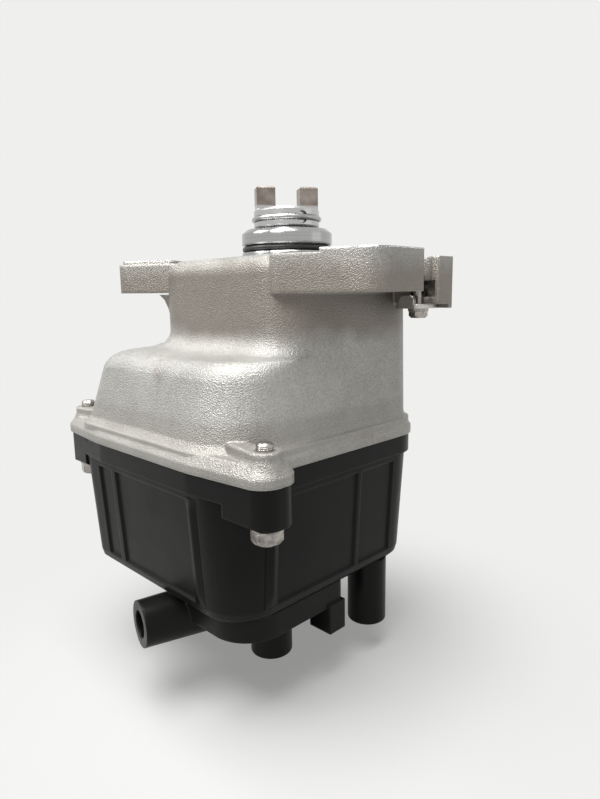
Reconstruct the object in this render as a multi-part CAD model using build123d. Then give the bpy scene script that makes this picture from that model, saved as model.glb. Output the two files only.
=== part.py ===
from build123d import *
import os
from math import atan2, cos, degrees, hypot, pi, radians, sin, sqrt

os.makedirs("parts", exist_ok=True)

# Ignition distributor with the coil and the igniter inside.
# Millimetres. The origin lies on the shaft axis in the plane of the mounting face.
# +Z runs along the shaft to the drive coupling, so the cap and its towers point down.

# ---- driving dimensions: joint between housing and cap ----
joint_z = -63.0             # plane where the cap meets the housing
case_left = -59.5           # X of the coil side of the joint flange
case_right = 34.0           # X of the connector side
case_front = -37.2          # Y of the front side
case_back = 56.0            # Y of the back side
bevel_x = 36.0              # how much of the back right corner is cut away, along X
bevel_y = 34.0              # and along Y
front_left_r = 18.0         # corner radii of the joint flange
front_right_r = 14.0
bevel_r = 12.0
back_left_r = 10.0
lobe_r = 6.6                # radius of the ears that take the cap screws
lobe_out = 4.3              # how far each screw axis lies outside the flange side
lobe_x = -49.8              # X of the two screws on the coil side
lobe_root_r = 4.0           # hollow radius beside each ear
lobe_flare = 3.0            # spread of each ear at its root
lobe_run = 20.0             # length over which the coil side runs into its ears
rim_t = 5.7                 # thickness of the housing flange at the wall
rim_edge_t = 2.6            # thickness of the housing flange at its edge
rim_slope = 2.3             # width of the sloped upper edge
wall = 3.0                  # cast wall

# ---- housing ----
neck_left = -33.0           # neck: the tall round cornered part around the shaft
neck_front = -34.0
neck_right = 31.5
neck_back = 38.0
neck_bevel = 14.0
neck_draft = 0.8            # growth of the neck from top to flange
neck_r_front_left = 15.0
chamber_r_front_left = 21.0
neck_r_front_right = 13.0
neck_r_back = 10.0
neck_r_back_left = 16.0
top_z = -0.6                # cast top of the neck
top_round = 5.5             # rounding of the top edge
foot_flare = 1.6            # hollow where the casting meets the flange
shoulder_z = -31.2          # top of the coil chamber
shoulder_round = 8.0        # rounding of the chamber's top edge
shoulder_fall = 0.6         # fall of the shoulder from the cove to its edge
shoulder_cove = 6.5         # hollow where the chamber meets the neck
chamber_slope = 4.6         # lean of the chamber's side over its height
chamber_left = -56.6        # foot of the chamber on the coil side
chamber_back = 53.4         # foot of the chamber on the back
roof_z = -14.0              # ceiling of the neck

# ---- pilot, shaft and its bearings ----
pilot_r = 16.0
pilot_top = 9.5
seat_land_r = 20.5          # turned land round the pilot, in the mounting plane
pilot_chamfer = 1.4
groove_low = 1.7            # O-ring groove in the pilot
groove_high = 4.2
groove_depth = 2.0
o_ring_wire_r = 0.95
shaft_r = 6.0
run_fit = 0.04              # radial running clearance
seat_gap = 0.02             # radial clearance of pieces fixed in one another
ball_gap = 0.06
hub_r = 19.5
hub_bottom = -33.0          # the bearing and the sensor plate end here
bush_t = 2.0
bush_top = -1.0
bush_length = 18.0
seal_r = 11.0
seal_t = 6.5
bearing_r = 14.0
bearing_w = 8.0
ball_r = 2.4
ball_count = 8
ball_circle_r = 10.0
race_gap = 1.6              # half the gap between the two rings
sensor_plate_t = 1.6
sensor_plate_bore_r = 12.4
sensor_screw_circle_r = 16.9
collar_r = 8.5
collar_t = 2.0
seal_case_t = 1.2
seal_lip_t = 1.0
cage_t = 1.6
cage_h = 6.2
rotor_seat_r = 5.0
rotor_flat = 1.0            # depth of the flat that locates the rotor
rotor_seat_top = -62.0
shaft_end = -79.0
shaft_top = 15.8

# ---- drive coupling ----
coupling_r = 11.5
coupling_low = 10.1
coupling_top = 16.6
coupling_groove_w = 1.9
coupling_groove_z = 13.1
coupling_groove_depth = 0.9
ring_wire_r = 0.85
dog_top = 24.2
dog_w = 6.6                 # along the line of the dogs
dog_t = 5.2
dog_centre = 7.6
dog_turn = -33.0            # direction of the line of the dogs
pin_r = 2.0
pin_turn = 74.0

# ---- mounting ears ----
ear_t = 12.5
ear_step = 1.4              # rise of the machined pads above the cast ear
slot_w = 8.6
slot_circle_r = 48.5
lug_reach = 57.3            # Y reach of the front lug
lug_pad_at = (-27.4, -41.2) # the raised pad of the front lug starts at this point of its flank
lug_pad_rise = 1.3
web_out = 5.0               # hollow under the ears, outward
web_drop = 15.0             # and downward
lug_end_x = 1.0             # where the outer rail of the front lug ends
prong_x = 17.2              # far side of the open slot
prong_w = 9.4
prong_reach = 52.2
prong_low = -18.0
foot_top = -14.4            # boss under the prong that takes the bracket screw
foot_r = 4.2
bracket_seat_z = -16.6
ear_w = 22.0
back_ear_reach = 62.5
side_ear_reach = 60.0
back_ear_turn = 120.0
side_ear_turn = 18.0
back_web_root = 42.5        # distance from the axis at which each web leaves the neck
side_web_root = 32.5

# ---- cap ----
cap_bottom = -111.0
cap_band_h = 6.7            # height of the collar under the joint
cap_band_in = 0.7           # the collar stands this far inside the housing flange
cap_side_in = 2.0           # and the side below it this far
cap_draft = 2.2             # lean of the side down to the bottom
cap_round = 4.5             # rounding of the bottom edge
cap_wall = 3.0
cap_ear_z = -75.0           # underside of the screw ears
cap_ear_run = 7.0           # length of the ears' sloped flanks
deck_z = -118.0             # raised deck that carries the towers
deck_left = -51.0
deck_right = -7.0
deck_front = -31.5
deck_r = 14.0
tower_r = 7.2
tower_end = -135.0
tower_circle_r = 29.0
tower_first = 210.0
socket_r = 4.6
socket_depth = 15.0
side_tower_r = 7.7
side_tower_root_r = 8.9
side_tower_z = -118.4
side_tower_turn = 166.0
side_tower_mouth = (-63.3, 7.1)
side_tower_length = 40.0
vent_x = -10.3              # breather boss on the cap's underside
vent_y = -27.5
vent_w = 7.6
vent_l = 9.6
vent_low = -127.5
panel_depth = 0.7
field_edge = 2.5            # width left between a field and the collar
front_fields = [(-39.5, -2.6), (-0.6, 17.0)]
left_fields = [(-14.5, 28.6), (31.4, 40.0)]
seal_w = 2.0
seal_depth = 1.6

# ---- screws ----
cap_screw_r = 2.45
thread_gap = 0.05
hole_gap = 0.3
cap_screw_tip = -51.7
cap_pad_top = -53.9
pad_foot_z = -56.0          # the pad's sloped foot ends here
pad_inset = 2.0             # the pad stands this far inside the ear
cap_screw = (cap_screw_r, 4.6, 1.3, 8.0, 3.7)   # radius, flange radius and height, flats, head height
bracket_screw = (1.95, 3.4, 1.2, 5.5, 2.0)
hex_turn = 15.0             # turn of the hexagons about their axis
small_screw_r = 1.95
small_head_r = 3.6
small_head_h = 2.4
small_screw_length = 8.6
small_screw_slot = 1.0
thread_depth = 9.0

# ---- rotor, brush and terminals ----
rotor_gap = 0.8             # spark gap between the rotor and the terminals
terminal_head_r = 3.0
terminal_stem_r = 2.0
terminal_top = -75.0
terminal_head_h = 11.0
boss_r = 6.0
rotor_top = -66.0
rotor_hub_r = 9.0
rotor_skirt_r = 17.5
rotor_skirt_t = 2.4
rotor_arm_w = 10.0
rotor_arm_t = 5.0
rotor_turn = 245.0          # where the arm points at rest
rotor_arm_reach = 21.5
electrode_t = 1.0
electrode_w = 6.0
electrode_z = -82.0         # face that the brush rides on
brush_gap = 0.05
brush_fit = 0.1
rotor_screw_r = 1.45
rotor_screw_z = -72.0
brush_r = 2.5
brush_length = 9.0
brush_stroke = 3.0
spring_wire_r = 0.35
spring_turns = 6
strip_w = 4.0
strip_t = 1.4

# ---- sensors ----
crank_wheel_r = 15.4
crank_wheel_top = -38.5
crank_teeth = 24
cylinder_wheel_r = 15.0
cylinder_wheel_top = -47.5
cylinder_teeth = 4
wheel_t = 4.0
wheel_hub_r = 9.0
tooth_h = 2.0
air_gap = 0.7
pickup_w = 12.0
pickup_near = 20.5          # radii between which the pickup's body lies
pickup_far = 28.0
pickup_low = 3.8            # the body ends this far under the wheel's middle
pickup_hole_r = 24.6        # circle of the pickup screws
pole_w = 4.0
pole_h = 3.2
pickup_screw_r = 1.45
pickup_head_r = 2.7
pickup_head_h = 1.8
arm_w = 12.0
arm_reach = 29.0
crank_pickup_turn = 312.0
cylinder_pickup_turn = 205.0
clip_t = 1.2
clip_r = 8.0
clip_groove_depth = 0.6
wheel_hub_end = -54.5
cover_t = 1.6
cover_hole_r = 8.0
cover_rim_t = 1.2
cover_rim_h = 2.2
cover_top = -58.6
cover_post_r = 4.0
cover_posts = [(-6.0, -26.5), (24.5, -23.5), (4.0, 30.0)]

# ---- coil and igniter ----
coil_x = (-46.0, -23.5)
coil_y = (20.5, 43.5)
coil_z = (-76.0, -38.0)
coil_corner_r = 4.0
core_out = 2.0
core_z = (-58.0, -47.0)
core_ear_r = 4.5
core_ear_t = 3.0
coil_screws_at = [(-41.0, 13.5), (-16.5, 32.0)]
coil_nozzle_at = (-35.0, 32.0)
coil_nozzle_r = 5.0
coil_nozzle_low = -84.0
coil_spring_r = 2.2
coil_post_top = -99.0
igniter_x = (-47.5, -32.0)
igniter_y = (-22.5, 8.0)
igniter_top = -41.0
igniter_plate_t = 2.5
igniter_body_t = 8.0
igniter_post_r = 4.0

# ---- connector and harness bracket ----
socket_y = -1.0
socket_z = -38.0
socket_len = 26.0           # along Y
socket_h = 14.0
socket_out = 11.0
socket_wall = 1.6
connector_pad_x = 33.0      # machined seat of the connector
connector_flange_len = 42.0
connector_flange_h = 20.0
connector_flange_t = 2.5
connector_in = 6.0
contact_rows = 2
contact_columns = 4
contact_pitch = 5.0
contact_size = 1.4
contact_back = 5.0          # the contacts end this far inside the mouth
bracket_t = 1.4
bracket_x = (11.0, 23.0)
bracket_y = (-49.0, -38.6)
bracket_lip_h = 2.8
bracket_screw_length = 8.5
bracket_screw_at = (18.3, -43.6)


def rounded_face(corners, radii):
    """Flat face through the corners, each turned with its own radius."""
    return make_face(FilletPolyline(*corners, radius=radii, close=True))


def disc(r, low, high, at=(0, 0)):
    """Upright cylinder between two heights."""
    return Pos(at[0], at[1], (low + high) / 2) * Cylinder(r, high - low)


def tube(r_out, r_in, low, high, at=(0, 0)):
    return disc(r_out, low, high, at) - disc(r_in, low - 1, high + 1, at)


def block(x, y, z):
    """Box between pairs of limits."""
    size = (x[1] - x[0], y[1] - y[0], z[1] - z[0])
    return Pos((x[0] + x[1]) / 2, (y[0] + y[1]) / 2, (z[0] + z[1]) / 2) * Box(*size)


def polar(r, turn):
    return (r * cos(radians(turn)), r * sin(radians(turn)))


def save(name, shape):
    """Write one node, with a note of its volume."""
    shape.label = name
    export_step(shape, "parts/" + name + ".step")
    print(name, round(shape.volume, 1))


def group(shapes):
    return Compound(children=list(shapes))


# ---- outlines of the joint ----
def case_corners(inset):
    """Corners of the joint without its ears, moved inwards."""
    left, right = case_left + inset, case_right - inset
    front, back = case_front + inset, case_back - inset
    cut = inset * 0.42
    return [(left, front), (right, front), (right, case_back - bevel_y - cut),
            (case_right - bevel_x - cut, back), (left, back)]


def case_radii(inset):
    bases = (front_left_r, front_right_r, bevel_r, bevel_r, back_left_r)
    return [max(base - inset * 0.8, 2.0) for base in bases]


def case_face(inset, z):
    return Pos(0, 0, z) * rounded_face(case_corners(inset), case_radii(inset))


bevel_turn = degrees(atan2(bevel_x, bevel_y))
bevel_mid = (case_right - bevel_x / 2, case_back - bevel_y / 2)
bevel_normal = polar(1, bevel_turn)
screw_places = [
    (lobe_x, case_front - lobe_out),
    (bevel_mid[0] + lobe_out * bevel_normal[0], bevel_mid[1] + lobe_out * bevel_normal[1]),
    (lobe_x, case_back + lobe_out),
]
lobe_turns = [-90.0, bevel_turn, 90.0]


def lobe_corners(place, turn, inset, root):
    """Corners of one screw ear: hollow, tip, tip, hollow, going round the outline."""
    r = lobe_r - inset
    out_x, out_y = polar(1, turn)
    side_x, side_y = out_y, -out_x
    spots = [(r + root, -lobe_out - inset), (r, r), (-r, r), (-r - root, -lobe_out - inset)]
    return [(place[0] + s * side_x + n * out_x, place[1] + s * side_y + n * out_y) for s, n in spots]


def flange_face(inset, z):
    """Joint outline with its three screw ears; the two on the coil side run into that side."""
    left, right = case_left + inset, case_right - inset
    front, back = case_front + inset, case_back - inset
    ears = [lobe_corners(place, turn, inset, lobe_flare) for place, turn in zip(screw_places, lobe_turns)]
    side = case_corners(inset)
    tip, hollow = lobe_r - inset - 0.1, lobe_root_r + inset
    corners = [(left, front + lobe_run), *ears[0][1:], side[1], side[2], *ears[1], side[3],
               *ears[2][:3], (left, back - lobe_run)]
    radii = [front_left_r, tip, tip, hollow, front_right_r - inset, bevel_r - inset,
             hollow, tip, tip, hollow, bevel_r - inset, hollow, tip, tip, front_left_r]
    return Pos(0, 0, z) * rounded_face(corners, radii)


# ---- housing ----
def casting_section(z, spread, inset):
    """Outline of the casting: spread runs from 0 at the neck to 1 at the chamber's foot."""
    grow = neck_draft * z / joint_z
    left = neck_left + (chamber_left - neck_left) * spread + inset
    back = neck_back + (chamber_back - neck_back) * spread - inset
    front = neck_front - grow + inset
    right = neck_right + grow - inset
    bevel_start = neck_back - neck_bevel * 1.3 - inset * 0.4
    bevel_end = neck_right - neck_bevel * 1.8 - 8 * spread - inset * 0.4
    corners = [(left, front), (right, front), (right, bevel_start), (bevel_end, back), (left, back)]
    back_left = neck_r_back_left + (back_left_r - 1 - neck_r_back_left) * spread
    front_left = neck_r_front_left + (chamber_r_front_left - neck_r_front_left) * min(spread, 1)
    bases = (front_left, neck_r_front_right, neck_r_back, neck_r_back, back_left)
    radii = [max(base - inset * 0.7, 1.5) for base in bases]
    return Pos(0, 0, z) * rounded_face(corners, radii)


def casting_stations():
    """Heights and spreads down the casting: top edge, neck, cove, shoulder, leaning side, foot."""
    reach = neck_left - chamber_left
    stations = [(top_z - top_round * (1 - sin(radians(t))), 0.0, top_round * (1 - cos(radians(t))))
                for t in (90, 72, 54, 36, 18, 0)]
    cove_z = shoulder_z + shoulder_cove
    for turn in range(0, 85, 12):                       # cove into the shoulder
        out = shoulder_cove * (1 - cos(radians(turn)))
        stations.append((cove_z - shoulder_cove * sin(radians(turn)), out / reach, 0.0))
    edge = reach - chamber_slope
    for turn in range(80, 0, -12):                      # rounded edge of the shoulder
        out = edge - shoulder_round * (1 - cos(radians(turn)))
        drop = shoulder_round * (1 - sin(radians(turn)))
        stations.append((shoulder_z - shoulder_fall - drop, out / reach, 0.0))
    rim_top = joint_z + rim_t
    foot_from = rim_top + foot_flare * 1.4
    lean = (foot_from - (shoulder_z - shoulder_fall - shoulder_round)) / (rim_top - (shoulder_z - shoulder_round))
    stations.append((foot_from, (edge + chamber_slope * lean) / reach, 0.0))
    for turn in (35, 65, 90):                           # hollow into the flange
        stations.append((foot_from - foot_flare * 1.4 * sin(radians(turn)), 1.0,
                         -foot_flare * (1 - cos(radians(turn)))))
    stations.append((joint_z + rim_edge_t, 1.0, -foot_flare))
    return stations


def casting():
    return loft([casting_section(*station) for station in casting_stations()], ruled=True)


def casting_hollow():
    """Inside of the casting: the same form, one wall smaller, open at the joint."""
    reach = neck_left - chamber_left
    stations = [(roof_z, 0.0), (shoulder_z - wall + 6.0, 0.0), (shoulder_z - wall, 0.25),
                (shoulder_z - wall - 1.0, 0.62), (shoulder_z - wall - 5.0, (reach - chamber_slope) / reach),
                (joint_z - 1.0, 1.0)]
    return loft([casting_section(z, spread, wall) for z, spread in stations], ruled=True)


def flange():
    plate = extrude(flange_face(0, joint_z), rim_t)
    top = plate.faces().sort_by(Axis.Z)[-1]
    return chamfer(top.edges(), rim_t - rim_edge_t, rim_slope)


def teardrop(r, tail):
    """Round end with a tail that points back to the wall."""
    return make_face(Polyline((0, -r), (0, r), (-tail, r * 0.45), (-tail, -r * 0.45), close=True)) + Circle(r)


def screw_pad(place, turn):
    """Teardrop pad on a sloped foot; the cap screw threads into it."""
    r, tail = lobe_r - pad_inset, 2.2 * lobe_r
    foot_low = joint_z + rim_edge_t
    seat = Pos(place[0], place[1], foot_low) * Rot(0, 0, turn)
    foot = loft([seat * teardrop(lobe_r - 0.2, tail),
                 Pos(place[0], place[1], pad_foot_z) * Rot(0, 0, turn) * teardrop(r, tail)], ruled=True)
    pad = extrude(Pos(place[0], place[1], pad_foot_z - 1) * Rot(0, 0, turn) * teardrop(r, tail),
                  cap_pad_top - pad_foot_z + 1)
    pad = chamfer(pad.faces().sort_by(Axis.Z)[-1].edges(), 0.4)
    return foot + pad


def front_lug():
    """Thick lug in front: a long rail, then an open slot that ends at a prong."""
    corners = [(neck_left + 6, neck_front + 14), (-35.6, -29.6), (-23.6, -46.5), (-20.6, -lug_reach),
               (lug_end_x, -lug_reach), (lug_end_x, -slot_circle_r + 2),
               (prong_x, -slot_circle_r + 4), (prong_x + prong_w, neck_front - 4), (22, neck_front + 12)]
    radii = [1, 3, 14, 8.5, 0.8, 1, 1, 1, 1]
    plate = extrude(Pos(0, 0, -ear_t) * rounded_face(corners, radii), ear_t)
    flank_turn = degrees(atan2(corners[2][1] - corners[1][1], corners[2][0] - corners[1][0]))
    low_part = block((-60, 0), (-5, 80), (-lug_pad_rise, 5))
    return plate - Pos(lug_pad_at[0], lug_pad_at[1], 0) * Rot(0, 0, flank_turn) * low_part


def prong():
    """Taller end of the front lug, with the pocket and the thread for the bracket screw."""
    corners = [(prong_x, neck_front + 6), (prong_x + prong_w, neck_front + 6),
               (prong_x + prong_w, -prong_reach), (prong_x, -prong_reach)]
    body = extrude(Pos(0, 0, prong_low) * rounded_face(corners, [1, 1, 2.2, 1.4]), -prong_low - ear_step)
    pocket = block((prong_x - 1, prong_x + 5.5), (-prong_reach + 1.6, -41), (foot_top, -9.0))
    foot = disc(foot_r, bracket_seat_z, foot_top, bracket_screw_at)
    foot = foot + block((bracket_screw_at[0], prong_x + 2), (bracket_screw_at[1] - foot_r, bracket_screw_at[1] + foot_r),
                        (bracket_seat_z, foot_top))
    step = block((prong_x - 1, bracket_x[1] + hole_gap), (-prong_reach - 1, neck_front), (prong_low - 1, bracket_seat_z))
    return body - pocket - step + foot


def ear(turn, reach):
    """Plain ear: straight flanks and a nearly square end."""
    corners = [(20, -ear_w / 2 - 2), (reach, -ear_w / 2), (reach, ear_w / 2), (20, ear_w / 2 + 2)]
    plate = extrude(Pos(0, 0, -ear_t + 1) * rounded_face(corners, [1, 3.5, 3.5, 1]), ear_t - 1 - ear_step)
    pad_face = [(slot_circle_r - 8, -ear_w / 2 + 1.2), (reach - 1.2, -ear_w / 2 + 1.2),
                (reach - 1.2, ear_w / 2 - 1.2), (slot_circle_r - 8, ear_w / 2 - 1.2)]
    pad = extrude(Pos(0, 0, -ear_step - 1) * rounded_face(pad_face, [2, 2.6, 2.6, 2]), ear_step + 1)
    return Rot(0, 0, turn) * (plate + pad)


def ear_web(turn, root, half_width):
    """Hollow web under an ear: its reach grows along a quarter round up to the ear's underside."""
    sections = []
    for step in (0, 20, 40, 60, 80):
        reach = root + web_out * (1 - cos(radians(step)))
        z = -ear_t + 0.5 - web_drop * (1 - sin(radians(step)))
        wide = half_width + 0.3 * web_out * (1 - cos(radians(step)))
        corners = [(root - 14, -wide), (reach, -wide), (reach, wide), (root - 14, wide)]
        sections.append(Rot(0, 0, turn) * Pos(0, 0, z) * rounded_face(corners, [1, 3, 3, 1]))
    return loft(sections, ruled=True)


def arc_slot(mid_turn, spread_turn):
    """Cutter for an adjusting slot that follows the circle of the mounting bolts."""
    line = CenterArc((0, 0), slot_circle_r, mid_turn - spread_turn / 2, spread_turn)
    return extrude(Pos(0, 0, -40) * SlotArc(line, slot_w), 60)


def pilot():
    """Turned spigot with a chamfer and the O-ring groove, as one revolved profile."""
    root = pilot_r - groove_depth
    outline = [(0, -8), (pilot_r, -8), (pilot_r, groove_low), (root, groove_low), (root, groove_high),
               (pilot_r, groove_high), (pilot_r, pilot_top - pilot_chamfer),
               (pilot_r - pilot_chamfer * 1.2, pilot_top), (0, pilot_top)]
    profile = make_face(Polyline(*[(x, 0, z) for x, z in outline], close=True))
    return revolve(profile, Axis.Z)


bush_r = shaft_r + bush_t
seal_low = pilot_top - 0.5 - seal_t
bearing_top = hub_bottom + bearing_w
chamber_ceiling = shoulder_z - wall
sensor_screws_at = [polar(sensor_screw_circle_r, turn) for turn in (30, 150, 270)]
igniter_screws_at = [((igniter_x[0] + igniter_x[1]) / 2, y) for y in (igniter_y[0] + 3.5, igniter_y[1] - 3.5)]
connector_screws_y = [socket_y + side * (connector_flange_len / 2 - 3.5) for side in (-1, 1)]


def connector_pad():
    half = connector_flange_len / 2 + 1
    face = [(socket_y - half, socket_z - connector_flange_h / 2 - 1),
            (socket_y + half, socket_z - connector_flange_h / 2 - 1),
            (socket_y + half, socket_z + connector_flange_h / 2 + 1),
            (socket_y - half, socket_z + connector_flange_h / 2 + 1)]
    plane = Plane((neck_right - wall, 0, 0), x_dir=(0, 1, 0), z_dir=(1, 0, 0))
    return extrude(plane * rounded_face(face, [3] * 4), connector_pad_x - neck_right + wall)


def connector_window():
    half_y, half_z = socket_len / 2, socket_h / 2
    return block((neck_right - 8, connector_pad_x + 1), (socket_y - half_y, socket_y + half_y),
                 (socket_z - half_z, socket_z + half_z))


def side_disc(r, x0, x1, y, z):
    """Cylinder along X."""
    return Pos((x0 + x1) / 2, y, z) * Rot(0, 90, 0) * Cylinder(r, x1 - x0)


def housing():
    body = casting() + flange() + pilot()
    body = body + front_lug() + prong()
    body = body + ear(back_ear_turn, back_ear_reach) + ear(side_ear_turn, side_ear_reach)
    body = body + disc(seat_land_r, top_z - 4, 0)
    body = body + ear_web(back_ear_turn, back_web_root, ear_w / 2 - 1) + ear_web(side_ear_turn, side_web_root, ear_w / 2 - 1)
    for place, turn in zip(screw_places, lobe_turns):
        body = body + screw_pad(place, turn)
    body = body - casting_hollow() + connector_pad()
    body = body + disc(hub_r, hub_bottom, roof_z + 1)
    for place in cover_posts:
        body = body + disc(cover_post_r, cover_top, roof_z + 1, place)
    body = body + disc(core_ear_r - 0.5, core_z[1], chamber_ceiling + 1, coil_screws_at[0])
    body = body + disc(core_ear_r - 0.5, core_z[1], roof_z + 1, coil_screws_at[1])
    for place in igniter_screws_at:
        body = body + disc(igniter_post_r, igniter_top, chamber_ceiling + 1, place)
    body = body - disc(shaft_r + 1.2, -60, 30)
    body = body - disc(bush_r, bush_top - bush_length, bush_top)
    body = body - disc(seal_r, seal_low, pilot_top + 1)
    body = body - disc(bearing_r, hub_bottom - 1, bearing_top)
    body = body - arc_slot(-87.0, 28.0) - arc_slot(back_ear_turn, 10.0) - arc_slot(side_ear_turn, 10.0)
    body = body - block((lug_end_x, prong_x), (-70, -slot_circle_r), (-40, 5))
    for place in screw_places:
        body = body - disc(cap_screw_r + thread_gap, joint_z - 1, 0, place)
    threads = [(place, cover_top) for place in cover_posts]
    threads += [(place, core_z[1]) for place in coil_screws_at]
    threads += [(place, igniter_top) for place in igniter_screws_at]
    threads += [(place, hub_bottom) for place in sensor_screws_at]
    for place, low in threads:
        body = body - disc(small_screw_r + thread_gap, low - 1, low + thread_depth, place)
    body = body - disc(bracket_screw[0] + thread_gap, bracket_seat_z - 1, bracket_seat_z + thread_depth, bracket_screw_at)
    body = body - connector_window()
    for y in connector_screws_y:
        body = body - side_disc(small_screw_r + thread_gap, neck_right - 8, connector_pad_x + 1, y, socket_z)
    return body


# ---- cap ----
def cap_section(inset, z):
    return case_face(inset, z)


def cap_shell():
    """Collar, leaning sides and rounded bottom, hollowed by one wall."""
    band_low = joint_z - cap_band_h
    low_in = cap_side_in + cap_draft
    stations = [(cap_side_in, band_low + 2.0), (cap_side_in, band_low), (low_in, cap_bottom + cap_round)]
    for turn in (30, 60, 90):
        stations.append((low_in + cap_round * (1 - cos(radians(turn))),
                         cap_bottom + cap_round * (1 - sin(radians(turn)))))
    skin = loft([cap_section(inset, z) for inset, z in stations], ruled=True)
    collar = extrude(flange_face(cap_band_in, band_low), cap_band_h)
    hollow_low = cap_bottom + cap_wall
    hollow = [(cap_side_in + cap_wall, joint_z + 1), (cap_side_in + cap_wall, band_low),
              (low_in + cap_wall, hollow_low + 2.0), (low_in + cap_wall + 2.0, hollow_low)]
    return skin + collar, loft([cap_section(inset, z) for inset, z in hollow], ruled=True)


def cap_ear(place, turn):
    """Screw ear: the collar's own outline carried down, cut to a sloped underside."""
    r = lobe_r
    high, low = joint_z - cap_band_h + 1, cap_ear_z
    reach = r + cap_ear_run
    side = [(-reach, high), (-reach, joint_z - cap_band_h), (-r * 0.8, low), (r * 0.8, low),
            (reach, joint_z - cap_band_h), (reach, high)]
    plane = Plane((place[0], place[1], 0), x_dir=(*polar(1, turn + 90), 0), z_dir=(*polar(1, turn), 0))
    wedge = extrude(plane.offset(-lobe_out - 6) * make_face(Polyline(*[(a, b) for a, b in side], close=True)),
                    lobe_out + 6 + r)
    return wedge & extrude(flange_face(cap_band_in, low), high - low)


def deck():
    """Raised deck on the underside that carries the towers."""
    reach = tower_circle_r + 3
    corners = [(deck_left, 8), (deck_left, deck_front), (deck_right, deck_front), (deck_right + 8, deck_front + 16),
               (reach, deck_front + 22), (reach, reach), (-24, reach)]
    radii = [5, deck_r, 3, 5, 5, 10, 8]
    return extrude(Pos(0, 0, deck_z) * rounded_face(corners, radii), cap_bottom - deck_z + 1)


side_dir = polar(1, side_tower_turn)


def along_side_tower(distance):
    """Point on the side tower's axis, measured inwards from its mouth."""
    return (side_tower_mouth[0] - side_dir[0] * distance, side_tower_mouth[1] - side_dir[1] * distance)


def side_rod(r_mouth, r_root, start, end):
    """Round solid along the side tower's axis; distances run inwards from the mouth."""
    plane = Plane((*along_side_tower(start), side_tower_z), z_dir=(-side_dir[0], -side_dir[1], 0))
    return loft([plane * Circle(r_mouth), plane.offset(end - start) * Circle(r_root)])


tower_turns = [tower_first + 90 * k for k in range(4)]
tower_places = [polar(tower_circle_r, turn) for turn in tower_turns]
side_fed = 3                                            # this terminal feeds the side tower
upright = [k for k in range(4) if k != side_fed]
cap_floor = cap_bottom + cap_wall


def tower(place):
    """Upright plug tower with a small round at its mouth."""
    body = disc(tower_r, tower_end, cap_bottom + 1, place)
    return fillet(body.faces().sort_by(Axis.Z)[0].edges(), 0.8)


def distributor_cap():
    skin, hollow = cap_shell()
    body = skin + deck()
    for place, turn in zip(screw_places, lobe_turns):
        body = body + cap_ear(place, turn)
    for k in upright:
        body = body + tower(tower_places[k])
    body = body + side_rod(side_tower_r, side_tower_root_r, 0, side_tower_length)
    body = body + block((vent_x - vent_w / 2, vent_x + vent_w / 2), (vent_y - vent_l / 2, vent_y + vent_l / 2),
                        (vent_low, deck_z + 1))
    body = body - hollow
    for place in tower_places:
        body = body + disc(boss_r, cap_floor - 1, terminal_top - terminal_head_h, place)
    body = body + disc(boss_r, cap_floor - 1, electrode_z - 4)
    body = body + disc(boss_r - 1, cap_floor - 1, coil_post_top - 3, coil_nozzle_at)
    for place in screw_places:
        body = body - disc(cap_screw_r + hole_gap, cap_ear_z - 1, joint_z + 1, place)
    for k in upright:
        body = body - disc(socket_r, tower_end - 1, tower_end + socket_depth, tower_places[k])
    body = body - side_rod(socket_r, socket_r, -1, socket_depth)
    body = body - disc(brush_r + brush_fit, cap_floor, 0)
    body = body - seal_ring() - tower_terminals() - centre_terminal()
    for panel in side_panels():
        body = body - panel
    return body


def side_panels():
    """Shallow fields in the sides of the cap; what stays proud is the corner column, a rib and the edges."""
    top, low = joint_z - cap_band_h - field_edge, cap_bottom + cap_round + 0.5
    lean = degrees(atan2(cap_draft, joint_z - cap_band_h - cap_bottom - cap_round))
    pivot = joint_z - cap_band_h
    tilt_front = Pos(0, case_front + cap_side_in, pivot) * Rot(lean, 0, 0) * Pos(0, 0, -pivot)
    tilt_left = Pos(case_left + cap_side_in, 0, pivot) * Rot(0, -lean, 0) * Pos(0, 0, -pivot)
    cuts = []
    for x0, x1 in front_fields:
        field = block((x0, x1), (-8, panel_depth), (low, top))
        cuts.append(tilt_front * chamfer(field.faces().sort_by(Axis.Y)[-1].edges(), panel_depth * 0.6))
    for y0, y1 in left_fields:
        field = block((-8, panel_depth), (y0, y1), (low, top))
        cuts.append(tilt_left * chamfer(field.faces().sort_by(Axis.X)[-1].edges(), panel_depth * 0.6))
    return cuts


def seal_ring():
    """Square section joint ring in its groove in the cap."""
    ring = case_face(cap_side_in, joint_z - seal_depth) - case_face(cap_side_in + seal_w, joint_z - seal_depth)
    return extrude(ring, seal_depth)


# ---- terminals ----
def terminal(place, end):
    stem = disc(terminal_stem_r, end, terminal_top - 1, place)
    return stem + disc(terminal_head_r, terminal_top - terminal_head_h, terminal_top, place)


def strip(start, end, low):
    """Flat bar between two places, with round ends."""
    run = hypot(end[0] - start[0], end[1] - start[1])
    turn = degrees(atan2(end[1] - start[1], end[0] - start[0]))
    shape = Pos((start[0] + end[0]) / 2, (start[1] + end[1]) / 2, low) * Rot(0, 0, turn)
    return extrude(shape * SlotOverall(run + strip_w, strip_w), strip_t)


def tower_terminals():
    """Brass terminals moulded into the cap; one is led to the side tower by a bar."""
    shapes = [terminal(tower_places[k], tower_end + socket_depth) for k in upright]
    inner = along_side_tower(side_tower_length - 2)
    rod = side_rod(terminal_stem_r, terminal_stem_r, socket_depth, side_tower_length)
    riser = disc(terminal_stem_r, side_tower_z, deck_z + 4, inner)
    bar = strip(inner, tower_places[side_fed], deck_z + 2.6)
    shapes.append(terminal(tower_places[side_fed], deck_z + 2.6) + bar + riser + rod)
    return group(shapes)


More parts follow.
